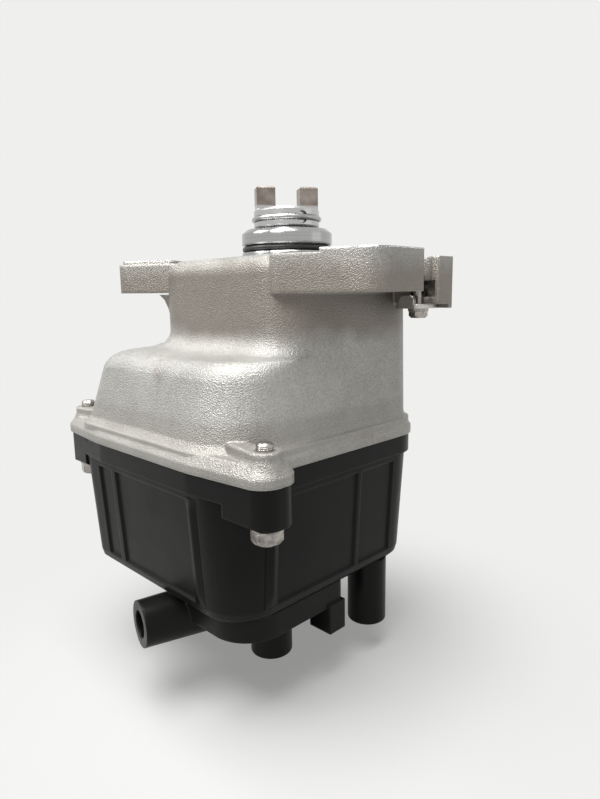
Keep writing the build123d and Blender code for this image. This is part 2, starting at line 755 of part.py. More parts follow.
def centre_terminal():
    """Bar in the cap's floor from the coil's post to the brush holder."""
    low = cap_floor - strip_t
    post = disc(terminal_stem_r, low, coil_post_top, coil_nozzle_at)
    return strip(coil_nozzle_at, (0, 0), low) + post


# ---- fasteners ----
def hexagon(width):
    return RegularPolygon(width / 2, 6, major_radius=False)


def hex_screw(place, seat, length, sizes):
    """Hexagon screw with a flange, its crown rounded; the head is below the seat."""
    r, flange_r, flange_h, flats, head_h = sizes
    shank = chamfer(disc(r, seat, seat + length, place).faces().sort_by(Axis.Z)[-1].edges(), r * 0.25)
    low = seat - flange_h - head_h
    flange_part = fillet(disc(flange_r, seat - flange_h, seat, place).faces().sort_by(Axis.Z)[0].edges(), flange_h * 0.4)
    head = extrude(Pos(place[0], place[1], low) * Rot(0, 0, hex_turn) * hexagon(flats), head_h)
    corner = flats / sqrt(3)
    crown = revolved([(0, low), (flats / 2 - 0.3, low), (corner + 0.1, low + 0.9), (corner + 0.1, seat), (0, seat)])
    return shank + flange_part + (head & (Pos(place[0], place[1], 0) * crown))


def pan_screw():
    """Small screw with a domed head and a cross slot; the head is under Z = 0."""
    rise = small_head_h * 0.45
    profile = make_face(Polyline((0, 0, -small_head_h), (small_head_r * 0.62, 0, -small_head_h),
                                 (small_head_r, 0, -small_head_h + rise), (small_head_r, 0, 0), (0, 0, 0), close=True))
    body = revolve(profile, Axis.Z) + disc(small_screw_r, -0.1, small_screw_length)
    slot = block((-small_head_r * 0.6, small_head_r * 0.6), (-small_screw_slot / 2, small_screw_slot / 2),
                 (-small_head_h - 1, -small_head_h + 1.2))
    return body - slot - Rot(0, 0, 90) * slot


def pan_screws():
    """Every small screw of the housing; all are alike."""
    screw = pan_screw()
    seats = [(place, cover_top - cover_t) for place in cover_posts]
    seats += [(place, core_z[1] - core_ear_t) for place in coil_screws_at]
    seats += [(place, igniter_top - igniter_plate_t) for place in igniter_screws_at]
    seats += [(place, hub_bottom - sensor_plate_t) for place in sensor_screws_at]
    shapes = [Pos(x, y, z) * screw for (x, y), z in seats]
    seat_x = connector_pad_x + connector_flange_t
    shapes += [Pos(seat_x, y, socket_z) * Rot(0, -90, 0) * screw for y in connector_screws_y]
    return group(shapes)


# ---- shaft line ----
def revolved(points):
    return revolve(make_face(Polyline(*[(r, 0, z) for r, z in points], close=True)), Axis.Z)


def shaft():
    flat_x = rotor_seat_r - rotor_flat
    groove = shaft_r - clip_groove_depth
    clip_low = wheel_hub_end - clip_t - 0.1
    body = revolved([(0, shaft_top), (shaft_r - 0.6, shaft_top), (shaft_r, shaft_top - 0.6),
                     (shaft_r, hub_bottom), (collar_r, hub_bottom), (collar_r, hub_bottom - collar_t),
                     (shaft_r, hub_bottom - collar_t), (shaft_r, wheel_hub_end), (groove, wheel_hub_end),
                     (groove, clip_low), (shaft_r, clip_low), (shaft_r, rotor_seat_top),
                     (rotor_seat_r, rotor_seat_top), (rotor_seat_r, shaft_end + 0.6),
                     (rotor_seat_r - 0.6, shaft_end), (0, shaft_end)])
    body = body - Rot(0, 0, rotor_turn) * block((flat_x, flat_x + 5), (-8, 8), (shaft_end - 1, rotor_seat_top - 2))
    return body - cross_pin(seat_gap)


def cross_pin(gap):
    reach = coupling_r - coupling_groove_depth - 0.3
    rod = Cylinder(pin_r + gap, 2 * reach + (4 if gap else 0))
    return Pos(0, 0, coupling_groove_z) * Rot(0, 0, pin_turn) * Rot(0, 90, 0) * rod


def drive_coupling():
    """Turned disc with two driving dogs, a ring groove and the cross pin's hole."""
    half = coupling_groove_w / 2
    root = coupling_r - coupling_groove_depth
    body = revolved([(shaft_r + seat_gap, coupling_low), (coupling_r - 0.5, coupling_low),
                     (coupling_r, coupling_low + 0.5), (coupling_r, coupling_groove_z - half),
                     (root, coupling_groove_z - half), (root, coupling_groove_z + half),
                     (coupling_r, coupling_groove_z + half), (coupling_r, coupling_top - 0.7),
                     (coupling_r - 0.7, coupling_top), (shaft_r + seat_gap, coupling_top)])
    dog = block((dog_centre - dog_w / 2, dog_centre + dog_w / 2), (-dog_t / 2, dog_t / 2), (coupling_top - 1, dog_top))
    dog = chamfer(dog.faces().sort_by(Axis.Z)[-1].edges(), 0.5)
    pair = (Rot(0, 0, dog_turn) * dog + Rot(0, 0, dog_turn + 180) * dog) & disc(coupling_r, 0, 30)
    pair = pair - disc(shaft_r + seat_gap, 0, coupling_top)
    return body + pair - cross_pin(seat_gap)


def wire_ring(r, wire, z, opening):
    """Round wire bent to an open ring."""
    line = CenterArc((0, 0, z), r, opening / 2, 360 - opening)
    return sweep(Plane(line @ 0, z_dir=line % 0) * Circle(wire), line)


def oil_seal():
    """Rubber covered case with a lip that bears on the shaft."""
    low, high = seal_low, seal_low + seal_t
    r_out, lip = seal_r - seat_gap, shaft_r + run_fit
    return revolved([(r_out, low), (r_out, high), (lip + 2.2, high), (lip + 2.2, high - seal_lip_t),
                     (lip, high - seal_lip_t - 0.6), (lip, high - seal_lip_t - 2.2),
                     (lip + 1.1, high - seal_lip_t - 3.2), (lip + 1.6, high - seal_lip_t - 1.9),
                     (r_out - seal_case_t, high - seal_lip_t - 0.6), (r_out - seal_case_t, low)])


def bearing_ring(r_out, r_in):
    mid = bearing_top - bearing_w / 2
    ring = tube(r_out, r_in, hub_bottom, bearing_top)
    return ring - Pos(0, 0, mid) * Torus(ball_circle_r, ball_r + ball_gap)


def ball_places():
    return [polar(ball_circle_r, 360 / ball_count * k) for k in range(ball_count)]


def bearing_balls():
    mid = bearing_top - bearing_w / 2
    return group([Pos(x, y, mid) * Sphere(ball_r) for x, y in ball_places()])


def bearing_cage():
    mid = bearing_top - bearing_w / 2
    ring = tube(ball_circle_r + cage_t / 2, ball_circle_r - cage_t / 2, mid - cage_h / 2, mid + cage_h / 2)
    for k in range(ball_count):
        pocket = Pos(ball_circle_r, 0, mid) * Rot(0, 90, 0) * Cylinder(ball_r + ball_gap, 2 * cage_t)
        ring = ring - Rot(0, 0, 360 / ball_count * k) * pocket
    return ring


def toothed_wheel(r, teeth, top, hub_top, hub_low):
    """Sensor wheel: rim with square teeth on its edge and a long hub."""
    rim = disc(r - tooth_h, top - wheel_t, top)
    width = pi * r / teeth if teeth > 8 else 6.0
    for k in range(teeth):
        tooth = block((r - tooth_h - 1, r + 1), (-width / 2, width / 2), (top - wheel_t, top))
        rim = rim + Rot(0, 0, 360 / teeth * k) * tooth
    wheel = (rim & disc(r, top - wheel_t, top)) + disc(wheel_hub_r, hub_low, hub_top)
    return wheel - disc(shaft_r + seat_gap, hub_low - 1, hub_top + 1)


def shaft_clip():
    inner = shaft_r - clip_groove_depth + seat_gap
    ring = tube(clip_r, inner, wheel_hub_end - clip_t, wheel_hub_end)
    return ring - block((0, 20), (-inner * 0.7, inner * 0.7), (-60, -50))


# ---- rotor ----
rotor_tip_r = tower_circle_r - terminal_head_r - rotor_gap
rotor_low = electrode_z + electrode_t


def rotor_arm():
    """Moulded rotor: skirt, hub with its flat sided seat, and the arm with a counterweight."""
    body = disc(rotor_skirt_r, rotor_top - rotor_skirt_t, rotor_top)
    hub = disc(rotor_hub_r, rotor_low, rotor_top)
    arm = block((-rotor_hub_r - 4, rotor_arm_reach), (-rotor_arm_w / 2, rotor_arm_w / 2),
                (rotor_low, rotor_low + rotor_arm_t))
    arm = fillet(arm.edges().filter_by(Axis.Z), 2.5)
    body = body + hub + arm
    for side in (-1, 1):
        web = block((rotor_hub_r - 1, rotor_skirt_r - 1), (side * 3.6 - 0.9, side * 3.6 + 0.9),
                    (rotor_low + 1, rotor_top - 1))
        body = body + web
    flat_x = rotor_seat_r - rotor_flat + seat_gap
    seat = disc(rotor_seat_r + seat_gap, shaft_end - 0.1, rotor_top + 1) - \
        block((flat_x, flat_x + 6), (-8, 8), (-90, -60))
    body = body - seat - Pos(7, 0, rotor_screw_z) * Rot(0, 90, 0) * Cylinder(rotor_screw_r + thread_gap, 20)
    return Rot(0, 0, rotor_turn) * body


def rotor_electrode():
    """Brass blade from the centre contact to the spark tip."""
    blade = block((0, rotor_tip_r + 1), (-electrode_w / 2, electrode_w / 2), (electrode_z, rotor_low))
    blade = blade & disc(rotor_tip_r, electrode_z, rotor_low)
    tip = block((rotor_arm_reach + 0.4, rotor_tip_r + 1), (-electrode_w / 2, electrode_w / 2),
                (electrode_z, rotor_low + 3)) & disc(rotor_tip_r, electrode_z, rotor_low + 3)
    return Rot(0, 0, rotor_turn) * (disc(4.5, electrode_z, rotor_low) + blade + tip)


def rotor_screw():
    """Grub screw that holds the rotor on the shaft's flat."""
    flat_x = rotor_seat_r - rotor_flat
    length = rotor_hub_r + 0.6 - flat_x - seat_gap
    rod = Pos(flat_x + seat_gap + length / 2, 0, rotor_screw_z) * Rot(0, 90, 0) * Cylinder(rotor_screw_r, length)
    slot = block((rotor_hub_r - 0.2, rotor_hub_r + 2), (-0.3, 0.3), (rotor_screw_z - 3, rotor_screw_z + 3))
    return Rot(0, 0, rotor_turn) * (rod - slot)


# ---- brush ----
brush_top = electrode_z - brush_gap


def carbon_brush():
    return chamfer(disc(brush_r, brush_top - brush_length, brush_top).faces().sort_by(Axis.Z)[-1].edges(), 0.4)


def coil_spring(r, wire, low, high, turns, at=(0, 0)):
    """Round wire spring between two heights."""
    run = high - low - 2 * wire
    helix = Pos(at[0], at[1], low + wire) * Helix(run / turns, run, r)
    return sweep(Plane(helix @ 0, z_dir=helix % 0) * Circle(wire), helix, is_frenet=True)


# ---- sensors ----
def sensor_plate():
    """Steel plate that holds the bearing and carries both pickups on its arms."""
    high, low = hub_bottom, hub_bottom - sensor_plate_t
    plate = disc(hub_r, low, high)
    for turn in (crank_pickup_turn, cylinder_pickup_turn):
        plate = plate + Rot(0, 0, turn) * block((10, arm_reach), (-arm_w / 2, arm_w / 2), (low, high))
    plate = plate - disc(sensor_plate_bore_r, low - 1, high + 1)
    for place in sensor_screws_at:
        plate = plate - disc(small_screw_r + hole_gap, low - 1, high + 1, place)
    for turn in (crank_pickup_turn, cylinder_pickup_turn):
        plate = plate - disc(pickup_screw_r + thread_gap, low - 1, high + 1, polar(pickup_hole_r, turn))
    return plate


def pickup(turn, wheel_r, wheel_top):
    """Sensor coil in its moulded body, with a steel pole that faces the teeth."""
    mid = wheel_top - wheel_t / 2
    high, low = hub_bottom - sensor_plate_t, mid - pickup_low
    body = block((pickup_near, pickup_far), (-pickup_w / 2, pickup_w / 2), (low, high))
    body = fillet(body.edges().filter_by(Axis.Z), 1.2)
    body = body - disc(pickup_screw_r + 0.15, low - 1, high + 1, (pickup_hole_r, 0))
    near = wheel_r + air_gap
    pole = block((near, pickup_near), (-pole_w / 2, pole_w / 2), (mid - pole_h / 2, mid + pole_h / 2))
    return Rot(0, 0, turn) * body, Rot(0, 0, turn) * pole


def pickup_screw(turn, wheel_top):
    low = wheel_top - wheel_t / 2 - pickup_low
    place = polar(pickup_hole_r, turn)
    shank = disc(pickup_screw_r, low, hub_bottom + 1.5, place)
    head = disc(pickup_head_r, low - pickup_head_h, low, place)
    return shank + fillet(head.faces().sort_by(Axis.Z)[0].edges(), 0.5)


def dust_cover():
    """Pressed cover between the sensors and the rotor, with a raised rim at the shaft."""
    corners = [(-20, -29), (27, -29), (27, 12), (10, 33.5), (-8, 33.5), (-20, 18)]
    low = cover_top - cover_t
    plate = extrude(Pos(0, 0, low) * rounded_face(corners, [4, 4, 8, 5, 5, 8]), cover_t)
    plate = plate + disc(cover_hole_r + cover_rim_t, low, cover_top + cover_rim_h)
    plate = plate - disc(cover_hole_r, low - 1, cover_top + cover_rim_h + 1)
    for place in cover_posts:
        plate = plate - disc(small_screw_r + hole_gap, low - 1, cover_top + 1, place)
    return plate


# ---- coil and igniter ----
def coil_plan(outset, corner):
    x0, x1, y0, y1 = coil_x[0] - outset, coil_x[1] + outset, coil_y[0] - outset, coil_y[1] + outset
    return rounded_face([(x0, y0), (x1, y0), (x1, y1), (x0, y1)], [corner] * 4)


def coil_body():
    """Potted winding with the high voltage nozzle under it."""
    body = extrude(Pos(0, 0, coil_z[0]) * coil_plan(0, coil_corner_r), coil_z[1] - coil_z[0])
    body = fillet(body.faces().sort_by(Axis.Z)[0].edges() + body.faces().sort_by(Axis.Z)[-1].edges(), 1.5)
    body = body + disc(coil_nozzle_r, coil_nozzle_low, coil_z[0] + 1, coil_nozzle_at)
    return body - disc(coil_spring_r + 0.8, coil_nozzle_low - 1, coil_nozzle_low + 3, coil_nozzle_at)


def coil_core():
    """Laminated steel frame round the coil with its two fixing ears."""
    low, high = core_z
    ring = extrude(Pos(0, 0, low) * coil_plan(core_out, coil_corner_r + 1), high - low)
    links = [(coil_screws_at[0], (coil_screws_at[0][0], coil_y[0] - core_out / 2)),
             (coil_screws_at[1], (coil_x[1] + core_out / 2, coil_screws_at[1][1]))]
    for place, root in links:
        run = hypot(place[0] - root[0], place[1] - root[1])
        turn = degrees(atan2(place[1] - root[1], place[0] - root[0]))
        web = Pos(*root, high - core_ear_t) * Rot(0, 0, turn) * Rectangle(run, 2 * core_ear_r, align=(Align.MIN, Align.CENTER))
        ring = ring + extrude(web, core_ear_t) + disc(core_ear_r, high - core_ear_t, high, place)
    ring = ring - extrude(Pos(0, 0, low - 1) * coil_plan(seat_gap, coil_corner_r), high - low + 2)
    for place in coil_screws_at:
        ring = ring - disc(small_screw_r + hole_gap, low, high + 1, place)
    return ring


def igniter_plate():
    """Aluminium base of the igniter with its two fixing holes."""
    plate = block(igniter_x, igniter_y, (igniter_top - igniter_plate_t, igniter_top))
    plate = fillet(plate.edges().filter_by(Axis.Z), 3.0)
    for place in igniter_screws_at:
        plate = plate - disc(small_screw_r + hole_gap, igniter_top - 9, igniter_top + 1, place)
    return plate


def igniter_module():
    """Resin filled box under the igniter's plate, with a row of terminal blades."""
    high = igniter_top - igniter_plate_t
    low = high - igniter_body_t
    y0, y1 = igniter_screws_at[0][1] + 4.4, igniter_screws_at[1][1] - 4.4
    body = block((igniter_x[0] + 0.8, igniter_x[1] - 0.8), (y0, y1), (low, high))
    body = fillet(body.edges().filter_by(Axis.Z), 1.5)
    recess = block((igniter_x[0] + 2.2, igniter_x[1] - 2.2), (y0 + 1.4, y1 - 1.4), (low - 1, low + 0.8))
    return body - recess


# ---- connector ----
def contact_places():
    columns = [socket_y + contact_pitch * (k - (contact_columns - 1) / 2) for k in range(contact_columns)]
    rows = [socket_z + contact_pitch * (k - (contact_rows - 1) / 2) for k in range(contact_rows)]
    return [(y, z) for y in columns for z in rows]


def connector_plan(length, height, corner):
    half_y, half_z = length / 2, height / 2
    corners = [(socket_y - half_y, socket_z - half_z), (socket_y + half_y, socket_z - half_z),
               (socket_y + half_y, socket_z + half_z), (socket_y - half_y, socket_z + half_z)]
    return rounded_face(corners, [corner] * 4)


def connector_block(x0, x1, length, height, corner):
    plane = Plane((x0, 0, 0), x_dir=(0, 1, 0), z_dir=(1, 0, 0))
    return extrude(plane * connector_plan(length, height, corner), x1 - x0)


def connector_socket():
    """Moulded socket on its flange, open outwards, with a latch rib on top."""
    face = connector_pad_x + connector_flange_t
    gap = 2 * hole_gap
    body = connector_block(connector_pad_x, face, connector_flange_len, connector_flange_h, 3)
    body = body + connector_block(face - 0.5, face + socket_out, socket_len, socket_h, 2.4)
    body = body + connector_block(connector_pad_x - connector_in, connector_pad_x + 0.5,
                                  socket_len - gap, socket_h - gap, 1.5)
    rib = block((face, face + socket_out - 2), (socket_y - 3, socket_y + 3),
                (socket_z + socket_h / 2 - 0.5, socket_z + socket_h / 2 + 1.6))
    body = body + rib
    inside = 2 * socket_wall
    body = body - connector_block(face, face + socket_out + 1, socket_len - inside, socket_h - inside, 1.2)
    for y in connector_screws_y:
        body = body - side_disc(small_screw_r + hole_gap, connector_pad_x - 1, face + 1, y, socket_z)
    for y, z in contact_places():
        half = contact_size / 2
        body = body - block((connector_pad_x - connector_in - 1, face + 1), (y - half, y + half), (z - half, z + half))
    return body


def connector_contacts():
    half = contact_size / 2 - seat_gap
    x0, x1 = connector_pad_x - connector_in - 2.5, connector_pad_x + connector_flange_t + socket_out - contact_back
    blades = []
    for y, z in contact_places():
        blade = block((x0, x1), (y - half, y + half), (z - half, z + half))
        blades.append(chamfer(blade.faces().sort_by(Axis.X)[-1].edges(), 0.3))
    return group(blades)


# ---- harness bracket ----
def harness_bracket():
    """Bent strip under the prong with an upturned lip on its outer edge and one end."""
    (x0, x1), (y0, y1) = bracket_x, bracket_y
    low, high = bracket_seat_z - bracket_t, bracket_seat_z
    plate = block((x0, x1), (y0, y1), (low, high))
    plate = fillet(plate.edges().filter_by(Axis.Z), 2.4)
    lip = block((x0, x0 + bracket_t), (y0 + 2.4, y1 - 2.4), (low, high + bracket_lip_h))
    lip = fillet(lip.edges().filter_by(Axis.X).sort_by(Axis.Z)[-2:], 1.6)
    return plate + lip - disc(bracket_screw[0] + hole_gap, low - 1, high + 1, bracket_screw_at)


save("housing", housing())
save("distributor_cap", distributor_cap())
save("cap_seal", seal_ring())
cap_screw_length = cap_screw_tip - cap_ear_z
save("cap_screws", group([hex_screw(place, cap_ear_z, cap_screw_length, cap_screw) for place in screw_places]))
save("bracket_screw", hex_screw(bracket_screw_at, bracket_seat_z - bracket_t, bracket_screw_length, bracket_screw))
save("harness_bracket", harness_bracket())
save("pan_screws", pan_screws())
groove_mid = (groove_low + groove_high) / 2
save("pilot_o_ring", Pos(0, 0, groove_mid) * Torus(pilot_r - groove_depth + o_ring_wire_r, o_ring_wire_r))
save("shaft_oil_seal", oil_seal())
save("shaft_bush", tube(bush_r - seat_gap, shaft_r + run_fit, bush_top - bush_length, bush_top))
save("bearing_outer_ring", bearing_ring(bearing_r - seat_gap, ball_circle_r + race_gap))
save("bearing_inner_ring", bearing_ring(ball_circle_r - race_gap, shaft_r + seat_gap))
save("bearing_balls", bearing_balls())
save("bearing_cage", bearing_cage())
save("sensor_plate", sensor_plate())
save("shaft", shaft())
save("drive_coupling", drive_coupling())
save("coupling_pin", cross_pin(0))
ring_r = coupling_r - coupling_groove_depth + ring_wire_r + seat_gap
save("coupling_retaining_ring", Rot(0, 0, 20) * wire_ring(ring_r, ring_wire_r, coupling_groove_z, 6))
hub_top = hub_bottom - collar_t
save("crank_wheel", toothed_wheel(crank_wheel_r, crank_teeth, crank_wheel_top, hub_top, cylinder_wheel_top))
save("cylinder_wheel", toothed_wheel(cylinder_wheel_r, cylinder_teeth, cylinder_wheel_top,
                                     cylinder_wheel_top, wheel_hub_end))
save("shaft_clip", shaft_clip())
crank_sensor, crank_pole = pickup(crank_pickup_turn, crank_wheel_r, crank_wheel_top)
cylinder_sensor, cylinder_pole = pickup(cylinder_pickup_turn, cylinder_wheel_r, cylinder_wheel_top)
save("crank_pickup", crank_sensor)
save("cylinder_pickup", cylinder_sensor)
save("pickup_poles", group([crank_pole, cylinder_pole]))
save("pickup_screws", group([pickup_screw(crank_pickup_turn, crank_wheel_top),
                             pickup_screw(cylinder_pickup_turn, cylinder_wheel_top)]))
save("dust_cover", dust_cover())
save("rotor_arm", rotor_arm())
save("rotor_electrode", rotor_electrode())
save("rotor_screw", rotor_screw())
save("tower_terminals", tower_terminals())
save("centre_terminal", centre_terminal())
save("carbon_brush", carbon_brush())
spring_r = brush_r - spring_wire_r
save("brush_spring", coil_spring(spring_r, spring_wire_r, cap_floor, brush_top - brush_length, spring_turns))
save("coil_body", coil_body())
save("coil_core", coil_core())
save("coil_contact_spring", coil_spring(coil_spring_r, spring_wire_r, coil_post_top, coil_nozzle_low + 3,
                                        spring_turns, coil_nozzle_at))
save("igniter_plate", igniter_plate())
save("igniter_module", igniter_module())
save("connector_socket", connector_socket())
save("connector_contacts", connector_contacts())
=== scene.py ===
import math

import bpy
import numpy as np
from mathutils import Matrix, Vector
from mathutils.bvhtree import BVHTree


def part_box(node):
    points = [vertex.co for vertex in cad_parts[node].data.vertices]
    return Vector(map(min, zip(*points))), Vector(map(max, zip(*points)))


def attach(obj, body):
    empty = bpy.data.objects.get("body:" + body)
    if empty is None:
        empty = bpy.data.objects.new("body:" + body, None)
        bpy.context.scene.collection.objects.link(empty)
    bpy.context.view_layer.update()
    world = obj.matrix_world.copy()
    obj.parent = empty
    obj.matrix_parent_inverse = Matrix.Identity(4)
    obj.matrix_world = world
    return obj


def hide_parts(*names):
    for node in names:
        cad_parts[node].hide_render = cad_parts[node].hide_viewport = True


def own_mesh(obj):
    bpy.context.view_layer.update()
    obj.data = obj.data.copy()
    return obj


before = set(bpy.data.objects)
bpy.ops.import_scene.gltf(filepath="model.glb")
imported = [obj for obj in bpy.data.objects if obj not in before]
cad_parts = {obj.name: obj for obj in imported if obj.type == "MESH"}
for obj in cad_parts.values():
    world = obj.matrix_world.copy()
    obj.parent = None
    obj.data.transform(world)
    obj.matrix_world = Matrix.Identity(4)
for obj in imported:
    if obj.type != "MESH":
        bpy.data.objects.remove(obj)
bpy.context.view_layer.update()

print("frame loaded", len(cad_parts), "nodes")


# a material with its nodes; each helper adds nodes and returns their output
class Tree:
    def __init__(self, name):
        self.mat = bpy.data.materials.new(name)
        self.mat.use_nodes = True
        self.nodes, self.links = self.mat.node_tree.nodes, self.mat.node_tree.links
        self.shader = self.nodes["Principled BSDF"]
        self.place = self.nodes.new("ShaderNodeTexCoord").outputs["Object"]

    def put(self, kind, inputs=(), **settings):
        node = self.nodes.new(kind)
        for key, value in settings.items():
            setattr(node, key, value)
        for key, value in dict(inputs).items():
            self.feed(node.inputs[key], value)
        return node

    def feed(self, socket, value):
        if isinstance(value, bpy.types.NodeSocket):
            self.links.new(value, socket)
        else:
            socket.default_value = value

    def math(self, operation, a, b=0.0):
        return self.put("ShaderNodeMath", {0: a, 1: b}, operation=operation).outputs[0]

    def times(self, a, b):
        return self.math("MULTIPLY", a, b)

    def weigh(self, *pairs):
        # sum of the values, each times its weight
        total, *rest = [self.times(value, weight) for value, weight in pairs]
        for part in rest:
            total = self.math("ADD", total, part)
        return total

    def noise(self, scale, detail=3.0, rough=0.55, stretch=None):
        place = self.place
        if stretch:
            place = self.put("ShaderNodeMapping", {"Vector": place, "Scale": stretch}).outputs[0]
        return self.put("ShaderNodeTexNoise", {"Vector": place, "Scale": scale, "Detail": detail,
                                               "Roughness": rough}).outputs["Fac"]

    def cells(self, scale):
        return self.put("ShaderNodeTexVoronoi", {"Vector": self.place, "Scale": scale}).outputs["Distance"]

    def spread(self, value, low, high, newLow=0.0, newHigh=1.0):
        return self.put("ShaderNodeMapRange", {"Value": value, "From Min": low, "From Max": high,
                                               "To Min": newLow, "To Max": newHigh}).outputs[0]

    def layer(self, scale, detail, rough, low, high, stretch=None):
        # noise whose range from low to high is spread over 0 to 1
        return self.spread(self.noise(scale, detail, rough, stretch), low, high)

    def above(self, value, level, soft):
        # 0 below the level, 1 above it, and a ramp of twice the soft width between; a negative one turns it over
        return self.spread(value, level - soft, level + soft)

    def blend(self, amount, a, b):
        node = self.put("ShaderNodeMix", data_type="RGBA")
        self.feed(node.inputs[0], amount)
        self.feed(node.inputs[6], a)
        self.feed(node.inputs[7], b)
        return node.outputs[2]

    def parts(self, vector):
        return self.put("ShaderNodeSeparateXYZ", {0: vector}).outputs

    def joined(self, x, y, z=0.0):
        return self.put("ShaderNodeCombineXYZ", {0: x, 1: y, 2: z}).outputs[0]

    def length(self, vector):
        return self.put("ShaderNodeVectorMath", {0: vector}, operation="LENGTH").outputs["Value"]

    def bump(self, height, strength, distance, under):
        return self.put("ShaderNodeBump", {"Height": height, "Strength": strength, "Distance": distance,
                                           "Normal": under}).outputs[0]

    def rounded(self, radius):
        return self.put("ShaderNodeBevel", {"Radius": radius}, samples=6).outputs[0]

    def edges(self, radius, low=0.02, high=0.25):
        # how much the rounded normal leaves the true one: 1 along sharp edges
        true = self.put("ShaderNodeNewGeometry").outputs["Normal"]
        dot = self.put("ShaderNodeVectorMath", {0: self.rounded(radius), 1: true}, operation="DOT_PRODUCT")
        return self.spread(self.math("SUBTRACT", 1.0, dot.outputs["Value"]), low, high)

    def set(self, **values):
        for key, value in values.items():
            self.feed(self.shader.inputs[key.replace("_", " ")], value)
        return self.mat


def grey(value, tint=(1.0, 1.0, 1.0)):
    return (value * tint[0], value * tint[1], value * tint[2], 1.0)


# cast aluminium of the housing: blasted skin, milled faces and the turned pilot
# a layer is given as noise scale, detail, roughness, and the low and high of the noise that are used
castLook = {
    "dark": 0.22, "light": 0.54, "tint": (1.0, 0.985, 0.925), "metallic": 0.5, "roughness": 0.38,
    "patches": (24.0, 4.0, 0.6, 0.34, 0.66), "patchShare": 0.38,         # a few centimetres across
    "clouds": (120.0, 5.0, 0.65, 0.3, 0.7), "cloudShare": 0.12,          # a few millimetres
    "speckles": (1900.0, 2.0, 0.7, 0.38, 0.62), "speckleShare": 0.3,     # of the blasted skin
    "pitSize": 1375.0, "pitShare": 0.2, "cloudRoughness": 0.14,
    "stainAndShade": (0.20, 0.17, 0.14, 1.0), "smear": 0.8,                      # rubbed in dirt; the same colour gives the painted shade on the neck and the darker flange side
    "smearBroad": (55.0, 5.0, 0.7, 0.56, 0.74, (1.0, 1.0, 0.45)), "smearFine": (420.0, 3.0, 0.7, 0.35, 0.65),
    "neckShadeAndGrime": 0.75, "neckShadeLow": -0.0255, "neckShadeHigh": -0.003,             # band on the neck: painted shade under the lug and ears, with some dirt
    "neckShadeLowSoft": 0.003, "neckShadeHighSoft": 0.004, "wanderSize": 60.0, "wander": 0.012,
    "rimDarker": 0.3, "rimFrom": -0.0492, "rimSoft": 0.0012,               # the flange's side, darker below this height
    "milledFrom": -0.0003, "milledDark": 0.3312, "milledLight": 0.46, "milledRoughness": 0.13,
    "ringSize": 5200.0, "ringDepth": 0.12,                               # tool marks
    "edgeRadius": 0.0014, "edgeWearAndSheenRadius": 0.00084, "edgeWearAndSheen": 0.42, "edgeWearAndSheenTone": 0.74,
    "grainSize": 2500.0, "grainFine": 1700.0, "grainDepth": 0.00022, "grainStrength": 0.75,
}


def castMaterial(look):
    t = Tree("castAluminium")
    clouds = t.layer(*look["clouds"])
    pits = t.spread(t.cells(look["pitSize"]), 0.12, 0.62)
    tone = t.weigh((t.layer(*look["patches"]), look["patchShare"]), (clouds, look["cloudShare"]),
                   (t.layer(*look["speckles"]), look["speckleShare"]), (pits, look["pitShare"]))
    cast = t.blend(tone, grey(look["dark"], look["tint"]), grey(look["light"], look["tint"]))

    # three darker coats: smears of dirt all over, a band on the neck with a wandering edge, which is painted shade
    # under the lug and ears with some dirt, and the flange's side, made darker
    x, y, z = t.parts(t.place)
    smear = t.times(t.layer(*look["smearBroad"]), t.layer(*look["smearFine"]))
    wander = t.times(t.math("SUBTRACT", t.noise(look["wanderSize"]), 0.5), look["wander"])
    height = t.math("ADD", z, wander)
    neckShadeBand = t.times(t.above(height, look["neckShadeLow"], look["neckShadeLowSoft"]),
                   t.above(height, look["neckShadeHigh"], -look["neckShadeHighSoft"]))
    # everything below the flange's top edge is made darker
    side = t.above(z, look["rimFrom"], -look["rimSoft"])
    # the neck band is painted shade under the lug and ears, mixed with some dirt
    for amount, strength in ((smear, look["smear"]), (neckShadeBand, look["neckShadeAndGrime"]), (side, look["rimDarker"])):
        cast = t.blend(t.times(amount, strength), cast, look["stainAndShade"])

    # all that stands above the milled faces is machined, with rings round the shaft
    machined = t.math("GREATER_THAN", z, look["milledFrom"])
    rings = t.put("ShaderNodeTexNoise", {"Vector": t.joined(t.length(t.joined(x, y)), z),
                                         "Scale": look["ringSize"], "Detail": 1.0}).outputs["Fac"]
    bright = t.blend(t.spread(rings, 0.3, 0.7), grey(look["milledDark"]), grey(look["milledLight"]))
    colour = t.blend(machined, cast, bright)
    # sharp edges lightened: painted highlight along the edges, and wear
    edgeWearAndSheen = t.times(t.edges(look["edgeWearAndSheenRadius"]), look["edgeWearAndSheen"])
    colour = t.blend(edgeWearAndSheen, colour, grey(look["edgeWearAndSheenTone"], look["tint"]))

    grain = t.math("ADD", t.cells(look["grainSize"]), t.noise(look["grainFine"], 3.0, 0.65))
    grain = t.times(grain, t.math("SUBTRACT", 1.0, machined))
    height = t.math("ADD", grain, t.times(rings, t.times(machined, look["ringDepth"])))
    normal = t.bump(height, look["grainStrength"], look["grainDepth"], t.rounded(look["edgeRadius"]))
    rough = t.spread(machined, 0.0, 1.0, look["roughness"], look["milledRoughness"])
    rough = t.math("ADD", rough, t.times(t.math("SUBTRACT", clouds, 0.5), look["cloudRoughness"]))
    metal = t.spread(machined, 0.0, 1.0, look["metallic"], 1.0)
    return t.set(Base_Color=colour, Metallic=metal, Roughness=rough, Normal=normal)


# moulded plastics and rubbers: what a look doesn't give comes from the base
plasticBase = {"driftSize": 30.0, "edge": 0.25, "edgeColour": grey(0.16), "edgeRadius": 0.0008, "grain": 2400.0,
               "flow": 240.0, "flowShare": 1.5, "bump": 0.12, "bumpDepth": 0.00012, "round": 0.0008,
               "glossDrift": (90.0, 3.0, 0.55), "specular": 0.5}


